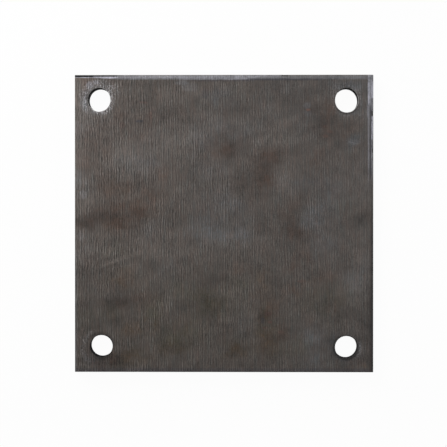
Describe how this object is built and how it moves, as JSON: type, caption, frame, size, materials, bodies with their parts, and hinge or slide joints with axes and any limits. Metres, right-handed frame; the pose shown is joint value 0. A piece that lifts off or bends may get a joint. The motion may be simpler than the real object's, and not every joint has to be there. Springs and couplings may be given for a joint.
{
  "type": "rectangular cover plate",
  "caption": "Flat, nearly square steel cover plate with sheared edges and a bolt hole near each corner.",
  "frame": {"origin": "middle of the back face, the one that the plate lies on", "axes": "+X across the plate, +Y up it, +Z out of the front face"},
  "size_m": [0.2032, 0.2024, 0.0095],
  "materials": {
    "mill_scale_steel": "matte"
  },
  "bodies": {
    "root": {"cover_plate": "mill_scale_steel"}
  },
  "joints": []
}
